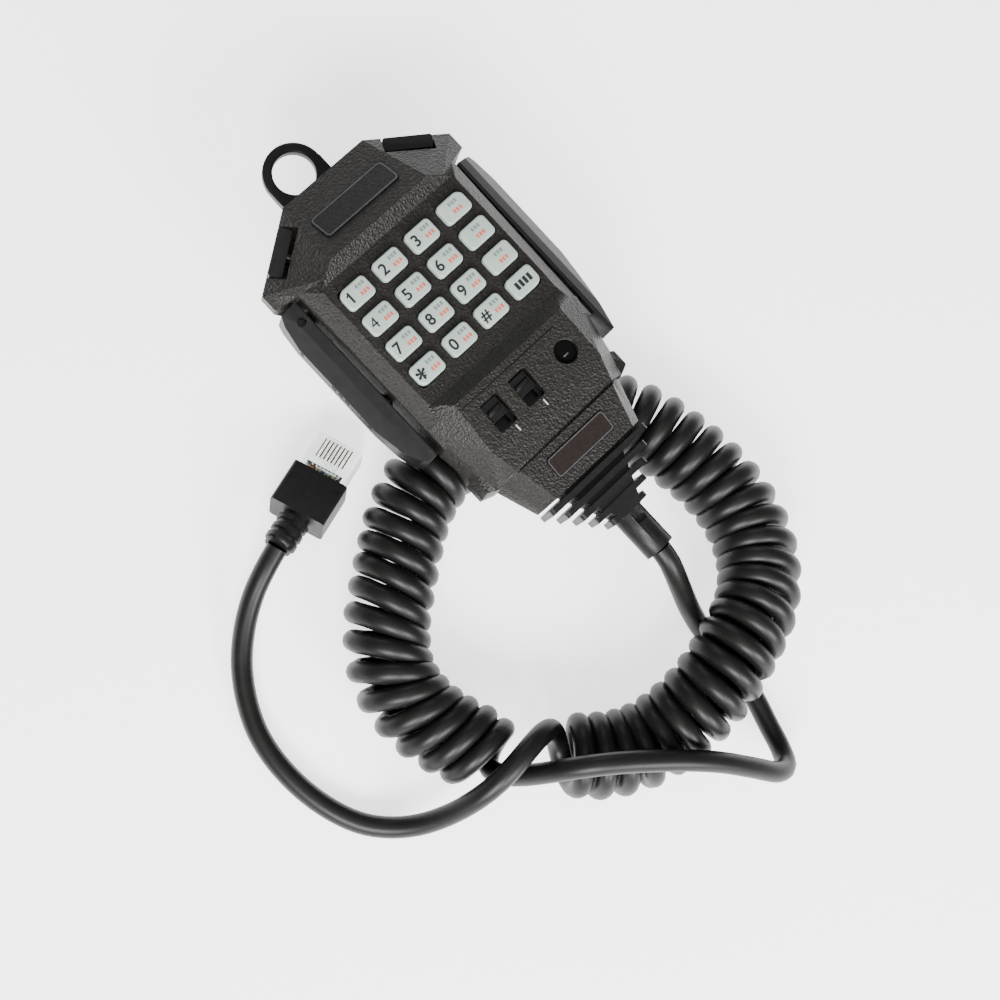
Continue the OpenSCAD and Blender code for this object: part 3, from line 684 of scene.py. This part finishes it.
@dataclass
class Studio:
    """A white sweep, soft lights and the camera."""

    eye: Point = (-123.794, -24.385, 458.880)
    back: Point = (-0.23328513, 0.01758203, 0.97224941)
    right: Point = (0.70804, -0.68226, 0.18223)
    lens: float = 68.4

    def camera(self) -> None:
        """Places the camera and makes it the scene's own."""
        data = bpy.data.cameras.new("camera")
        data.lens = self.lens
        data.sensor_width = 36.0
        data.clip_start = 0.01
        item = bpy.data.objects.new("camera", data)
        bpy.context.scene.collection.objects.link(item)
        back = Vector(self.back).normalized()
        side = Vector(self.right)
        side = (side - back * side.dot(back)).normalized()
        up = back.cross(side)
        turn = Matrix((side, up, back)).transposed().to_4x4()
        item.matrix_world = Matrix.Translation(mm(*self.eye)) @ turn
        bpy.context.scene.camera = item

    def light(self, name: str, place: Point, aim: Point, size: float, power: float) -> None:
        """Adds a square soft light at a place in metres, aimed at a point."""
        data = bpy.data.lights.new(name, "AREA")
        data.shape = "SQUARE"
        data.size = size
        data.energy = power
        item = bpy.data.objects.new(name, data)
        bpy.context.scene.collection.objects.link(item)
        look = Vector(aim) - Vector(place)
        item.location = place
        item.rotation_euler = look.to_track_quat("-Z", "Y").to_euler()

    def build(self) -> None:
        """Builds the floor, the lights, the sky and the camera."""
        self.camera()
        bpy.ops.object.select_all(action="DESELECT")
        bpy.ops.mesh.primitive_plane_add(size=6.0, location=(0, 0, -0.0002))
        floor = bpy.context.object
        floor.name = "sweep"
        dress(floor, PAPER)
        world = bpy.data.worlds.new("studio")
        world.use_nodes = True
        world.node_tree.nodes["Background"].inputs["Color"].default_value = (1, 1, 1, 1)
        world.node_tree.nodes["Background"].inputs["Strength"].default_value = 0.32
        bpy.context.scene.world = world
        aim = (-0.02, -0.03, 0.03)
        self.light("key_softbox", (-0.75, -0.5, 0.72), aim, 0.4, 23.0)
        self.light("low_softbox", (-0.2, -0.9, 0.55), aim, 0.4, 16.0)
        self.light("top_softbox", (-0.1, 0.1, 1.3), aim, 0.8, 3.0)
        self.light("edge_fill", (0.6, 0.8, 0.5), aim, 0.4, 2.0)


# ---------------------------------------------------------------- microphone


@dataclass
class Covers:
    """The two shells, the grip strip, the plates and the printed marks."""

    nodes: dict
    badge_tilt: float = 27.3
    label_tilt: float = 12.5

    def shells(self) -> None:
        """Rounds the shells' edges and gives them the leather grain."""
        front = copy_of(self.nodes["front_cover"])
        soften(front, 0.7, 3, 14.0, 2.4, lambda e: middle(e).z < 30.05 or self.inside(e))
        dress(front, SHELL)
        hold(front, "front_shell", HOUSING, "abs_shell", "front_cover")
        rear = copy_of(self.nodes["rear_cover"])
        soften(rear, 0.9, 3, 18.0, 3.0, lambda e: middle(e).z > 29.95 or self.inside(e))
        dress(rear, BACK)
        hold(rear, "rear_shell", HOUSING, "abs_shell", "rear_cover")

    @staticmethod
    def inside(edge: bmesh.types.BMEdge) -> bool:
        """Tells whether an edge is in the room inside, from the way its faces look."""
        point = middle(edge)
        core = Vector((point.x * 0.2, max(min(point.y, 20.0), -40.0), 30.0))
        look = sum((f.normal for f in edge.link_faces), Vector())
        return look.dot(point - core) < 0

    def strip(self) -> None:
        """Rounds the grip strip."""
        strip = copy_of(self.nodes["grip_strip"])
        soften(strip, 0.7, 3, 10.0, 1.5)
        dress(strip, RUBBER)
        hold(strip, "grip_strip_pad", HOUSING, "soft_black", "grip_strip")

    def plates(self) -> None:
        """Adds the thin lines round the two blank plates."""
        slope = math.radians(self.badge_tilt)
        low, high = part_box("badge_plate")
        centre = (Vector(low) + Vector(high)) / 2
        line = round_frame(21.9, 6.7, 1.0, 0.28, 0.05)
        line.rotation_euler = (-slope, 0, 0)
        line.location = centre + Vector((0, math.sin(slope), math.cos(slope))) * 0.4 * MM
        settle(line)
        dress(line, LINE_AND_HIGHLIGHT_GREY)
        hold(line, "badge_line", HOUSING, "badge")
        low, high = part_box("label_plate")
        centre = (Vector(low) + Vector(high)) / 2
        slope = math.radians(self.label_tilt)
        line = round_frame(17.7, 5.1, 0.8, 0.22, 0.05)
        line.rotation_euler = (slope, 0, 0)
        line.location = centre + Vector((0, -math.sin(slope), math.cos(slope))) * 0.4 * MM
        settle(line)
        dress(line, LINE_AND_HIGHLIGHT_GREY)
        hold(line, "label_line", HOUSING, "label")

    def drop(self, x: float, y: float) -> float:
        """Gives the front shell's height in millimetres at a place round the keypad's middle."""
        shell = self.nodes["front_cover"]
        corners = [shell.matrix_world @ v.co for v in shell.data.vertices]
        tree = BVHTree.FromPolygons(corners, [tuple(f.vertices) for f in shell.data.polygons])
        place = tree.ray_cast(face(x, y, 80), Vector((0, 0, -1)))[0]
        return place.z / MM if place else FACE_Z

    def openings(self) -> None:
        """Adds the raised lips round the switch windows and the port."""
        for name, x in SWITCHES:
            lip = round_frame(6.2, 8.6, 1.3, 0.42, 0.22)
            lip.location = face(x, SHELF_Y, self.drop(x, SHELF_Y - 5.2) - 0.06)
            settle(lip)
            dress(lip, KNOB)
            hold(lip, f"window_lip_{name}", HOUSING, "abs_shell")
        crease = round_bar((29, 0.3, 0.3), face(-1.5, -23.9, self.drop(-1.5, -23.9)), 0.1)
        settle(crease)
        dress(crease, SMOOTH)
        hold(crease, "shelf_rib", HOUSING, "abs_shell")
        rim = self.drop(PORT_X, SHELF_Y - 4.5)
        pit = self.drop(PORT_X, SHELF_Y + 1.4)
        bpy.ops.object.select_all(action="DESELECT")
        bpy.ops.mesh.primitive_torus_add(location=face(PORT_X, SHELF_Y, rim + 0.02),
                                         major_radius=3.1 * MM, minor_radius=0.3 * MM,
                                         major_segments=48, minor_segments=10)
        ring = bpy.context.object
        settle(ring)
        finish_edit(40)
        dress(ring, SMOOTH)
        hold(ring, "port_lip", HOUSING, "abs_shell")
        bpy.ops.object.select_all(action="DESELECT")
        bpy.ops.mesh.primitive_cylinder_add(vertices=48, radius=2.85 * MM, depth=0.12 * MM,
                                            location=face(PORT_X, SHELF_Y, pit + 0.07))
        floor = settle(bpy.context.object)
        finish_edit(40)
        dress(floor, PIT)
        hold(floor, "port_floor", HOUSING, "abs_shell")
        # Painted highlight: a small grey bar on the port's black floor stands for the light caught in the
        # slot.
        slot = round_bar((1.5, 0.4, 0.3), face(PORT_X - 0.2, SHELF_Y - 0.6, pit + 0.1), 0.1)
        settle(slot)
        dress(slot, LINE_AND_HIGHLIGHT_GREY)
        hold(slot, "port_slot_highlight", HOUSING, "abs_shell")

    def build(self) -> None:
        """Builds every piece of the covers."""
        self.shells()
        self.openings()
        self.strip()
        self.plates()
        ring = copy_of(self.nodes["hang_ring"])
        soften(ring, 0.7, 3, 40.0, 0.3, lambda e: middle(e).y < 39)
        dress(ring, SMOOTH)
        hold(ring, "hang_loop", HOUSING, "abs_shell", "hang_ring")


class Legend(Enum):
    """What is printed on a key."""

    DIGIT = "digit"
    WORDS = "words"
    WIDE = "wide"


@dataclass
class Keypad:
    """Sixteen keys with their printed legends."""

    pitch: tuple[float, float] = (10.2, 7.75)
    size: tuple[float, float] = (7.6, 5.4)
    names: tuple[str, ...] = (
        "1", "2", "3", "a", "4", "5", "6", "b", "7", "8", "9", "c", "star", "0", "hash", "d")

    def middle_of(self, index: int) -> tuple[float, float]:
        """Gives the middle of a key, in millimetres round the keypad's middle."""
        column, row = index % 4, index // 4
        return (column - 1.5) * self.pitch[0], (1.5 - row) * self.pitch[1]

    def cap(self, index: int) -> bpy.types.Object:
        """Models one key cap: round corners and a soft upper edge."""
        x, y = self.middle_of(index)
        cap = box_piece((self.size[0], self.size[1], 3.8), face(x, y, FACE_Z - 1.9))
        pick(cap)
        corner = {0: (-1, 1), 3: (1, 1), 12: (-1, -1), 15: (1, -1)}.get(index)
        for special in (False, True):
            def upright(edge: bmesh.types.BMEdge) -> bool:
                a, b = edge.verts
                straight = abs(a.co.x - b.co.x) < 1e-6 and abs(a.co.y - b.co.y) < 1e-6
                if not straight or edge.calc_length() < 0.003:
                    return False
                side = (1 if a.co.x > 0 else -1, 1 if a.co.y > 0 else -1)
                outer = corner is not None and side == corner
                return outer == special and abs(abs(a.co.x) * 2 - self.size[0] * MM) < 1e-6 \
                    and abs(abs(a.co.y) * 2 - self.size[1] * MM) < 1e-6
            if select_edges(cap, upright):
                bpy.ops.mesh.bevel(offset=(1.9 if special else 1.15) * MM, segments=6)
            bpy.ops.object.mode_set(mode="OBJECT")
        top = 1.9 * MM
        select_edges(cap, lambda e: all(v.co.z > top - 1e-6 for v in e.verts))
        bpy.ops.mesh.bevel(offset=0.5 * MM, segments=4, profile=0.55)
        finish_edit(40)
        return settle(cap)

    def word_row(self, count: int, width: float, height: float) -> bpy.types.Object:
        """Makes a row of small blocks where a key has a word, lying at the origin."""
        step = width / count
        blocks = [box_piece((step * 0.7, height, 0.04), mm((i - (count - 1) / 2) * step, 0, 0))
                  for i in range(count)]
        return settle(join(blocks))

    def figure(self, text: str, size: float) -> bpy.types.Object:
        """Makes a thin printed figure, lying at the origin."""
        bpy.ops.object.select_all(action="DESELECT")
        bpy.ops.object.text_add(location=(0, 0, 0))
        item = bpy.context.object
        item.data.body = text
        item.data.align_x = "CENTER"
        item.data.align_y = "CENTER"
        item.data.extrude = 0.006
        item.data.offset = 0.0 if text == "4" else 0.02
        bpy.ops.object.convert(target="MESH")
        item = bpy.context.object
        bpy.ops.object.mode_set(mode="EDIT")
        bpy.ops.mesh.select_all(action="SELECT")
        bpy.ops.mesh.remove_doubles(threshold=1e-5)
        bpy.ops.object.mode_set(mode="OBJECT")
        item.scale = (size * MM, size * MM, size * MM)
        bpy.ops.object.transform_apply(location=False, rotation=False, scale=True)
        if text == "1":
            flag = box_piece((0.36, 1.0, 0.05), Vector((-0.33, 1.0, 0)) * MM)
            flag.rotation_euler = (0, 0, math.radians(-52))
            item = join([settle(flag), item])
        return item

    def build(self) -> None:
        """Builds the caps and the legends."""
        grey = self.word_row(3, 2.7, 0.95)
        red = self.word_row(3, 2.7, 0.95)
        wide = self.word_row(4, 5.0, 1.9)
        top = FACE_Z + 0.01
        for index, name in enumerate(self.names):
            body = f"key_{name}_body"
            cap = self.cap(index)
            dress(cap, KEY)
            hold(cap, f"cap_{name}", body, "key_grey", f"key_{name}")
            x, y = self.middle_of(index)
            kind = Legend.WIDE if name == "d" else Legend.WORDS if name in "abc" else Legend.DIGIT
            if kind is Legend.DIGIT:
                text = {"star": "*", "hash": "#"}.get(name, name)
                figure = self.figure(text, 6.2 if text == "*" else 3.9)
                figure.location = face(x - 2.0, y - (1.35 if text == "*" else 0.15), top)
                settle(figure)
                dress(figure, INK_DARK)
                hold(figure, f"figure_{name}", body, "key_grey")
            if kind is Legend.WIDE:
                print_wide = clone(wide, face(x, y, top))
                dress(print_wide, INK_DARK)
                hold(print_wide, f"print_{name}", body, "key_grey")
                continue
            shift = 1.6 if kind is Legend.DIGIT else 0.3
            upper = clone(grey, face(x + shift, y + 1.15, top))
            dress(upper, INK_GREY)
            hold(upper, f"upper_print_{name}", body, "key_grey")
            lower = clone(red, face(x + shift, y - 0.85, top))
            dress(lower, INK_RED)
            hold(lower, f"lower_print_{name}", body, "key_grey")
        for spare in (grey, red, wide):
            bpy.data.objects.remove(spare)


@dataclass
class TalkBar:
    """The talk bar and its small moulded marks."""

    nodes: dict

    def build(self) -> None:
        """Rounds the bar and adds its marks."""
        bar = copy_of(self.nodes["ptt_bar"])
        soften(bar, 0.7, 3, 18.0, 1.5, self.hidden)
        dress(bar, SMOOTH)
        hold(bar, "talk_bar_shell", "talk_bar", "abs_shell", "ptt_bar")
        marks = []
        for y, length in ((11.0, 0.9), (0.2, 1.5), (-2.0, 1.5), (-4.2, 1.5), (-12.0, 0.9)):
            marks.append(round_bar((0.3, length, 2.2), face(-31.5, y, 28.6), 0.08))
        mark = settle(join(marks))
        dress(mark, SMOOTH)
        hold(mark, "talk_bar_marks", "talk_bar", "abs_shell")

    @staticmethod
    def hidden(edge: bmesh.types.BMEdge) -> bool:
        """Tells whether an edge is inside the hollow bar."""
        point = middle(edge)
        return point.x > -30.1 and 25.0 < point.z < 34.6 and -26.0 < point.y < 19.0


@dataclass
class Controls:
    """Shoulder buttons, slide switches and their marks."""

    nodes: dict

    def build(self) -> None:
        """Rounds the buttons and knobs and adds the marks."""
        for side, body in (("up", "up_key"), ("down", "down_key")):
            button = copy_of(self.nodes[f"{side}_button"])
            soften(button, 0.5, 3, 30.0, 1.0)
            dress(button, RUBBER)
            hold(button, f"{side}_button_cap", body, "soft_black", f"{side}_button")
        for side, x in SWITCHES:
            knob = copy_of(self.nodes[f"slide_knob_{side}"])
            soften(knob, 0.25, 2, 30.0, 0.8)
            dress(knob, KNOB)
            hold(knob, f"knob_{side}", f"{side}_slider", "switch_black", f"slide_knob_{side}")
            tick = round_bar((0.35, 1.7, 0.06), face(x + 1.2, -35.4, 41.8), 0.02)
            settle(tick)
            dress(tick, INK_WHITE)
            hold(tick, f"tick_{side}", HOUSING, "abs_shell")


@dataclass
class Relief:
    """The finned strain relief."""

    nodes: dict

    def build(self) -> None:
        """Rounds the fins and the sleeve."""
        fins = copy_of(self.nodes["strain_relief"])
        soften(fins, 0.3, 2, 35.0, 1.5, lambda e: middle(e).y > -53.9)
        dress(fins, RUBBER)
        hold(fins, "relief_fins", HOUSING, "soft_black", "strain_relief")


@dataclass
class Plug:
    """The modular plug with its boot."""

    nodes: dict

    def build(self) -> list[bpy.types.Object]:
        """Rounds the boot and dresses the plug, and returns what is on the cord."""
        boot = copy_of(self.nodes["plug_boot"])
        soften(boot, 0.8, 3, 35.0, 1.2)
        dress(boot, RUBBER)
        hold(boot, "plug_boot_cover", HOUSING, "jacket", "plug_boot")
        return [boot, self.nodes["plug_body"], self.nodes["plug_contacts"], self.nodes["plug_wires"],
                self.nodes["plug_latch"]]


NODE_FINISHES: dict[str, Finish] = {
    "badge_plate": BADGE, "label_plate": LABEL, "ring_screws": STEEL, "hanger_stud": STEEL,
    "stud_screw": STEEL, "case_screws": STEEL, "keypad_mat": RUBBER, "main_board": BOARD,
    "controller_chip": KNOB, "mic_capsule": BLACKED, "mic_boot": RUBBER, "ptt_pin": BLACKED,
    "ptt_plunger": KNOB, "ptt_switch": KNOB, "ptt_switch_button": RED_NYLON, "up_switch": KNOB,
    "down_switch": KNOB, "slide_switch_left": BLACKED, "slide_switch_right": BLACKED,
    "cord_core": JACKET, "cord_clamp": STEEL, "clamp_screws": STEEL, "cord_header": ACETAL,
    "header_wires": WIRE, "plug_body": CLEAR, "plug_contacts": GOLD, "plug_latch": CLEAR,
}


def plug_wire_finish(nodes: dict) -> WireSet:
    """Works out the wires' direction across the plug, and gives their finish."""
    across = Vector((math.cos(math.radians(-75)), math.sin(math.radians(-75)), 0))
    reach = [across.dot(v.co) / MM for v in nodes["plug_wires"].data.vertices]
    return WireSet("Plug_wire_insulation", "#d98b3a", "#c97b2a", 0.4, 0.05, 1.0,
                   across=tuple(across), start=min(reach), width=max(reach) - min(reach))


def main() -> None:
    """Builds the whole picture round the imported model."""
    logging.basicConfig(level=logging.INFO, format="%(name)s: %(message)s")
    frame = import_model()
    nodes = frame["nodes"]
    Studio().build()
    plug = Plug(nodes)
    CurlyCord().make(plug.build())
    Covers(nodes).build()
    Keypad().build()
    TalkBar(nodes).build()
    Controls(nodes).build()
    Relief(nodes).build()
    for name, finish in NODE_FINISHES.items():
        dress(nodes[name], finish)
    dress(nodes["plug_wires"], plug_wire_finish(nodes))


if __name__ == "__main__":
    main()
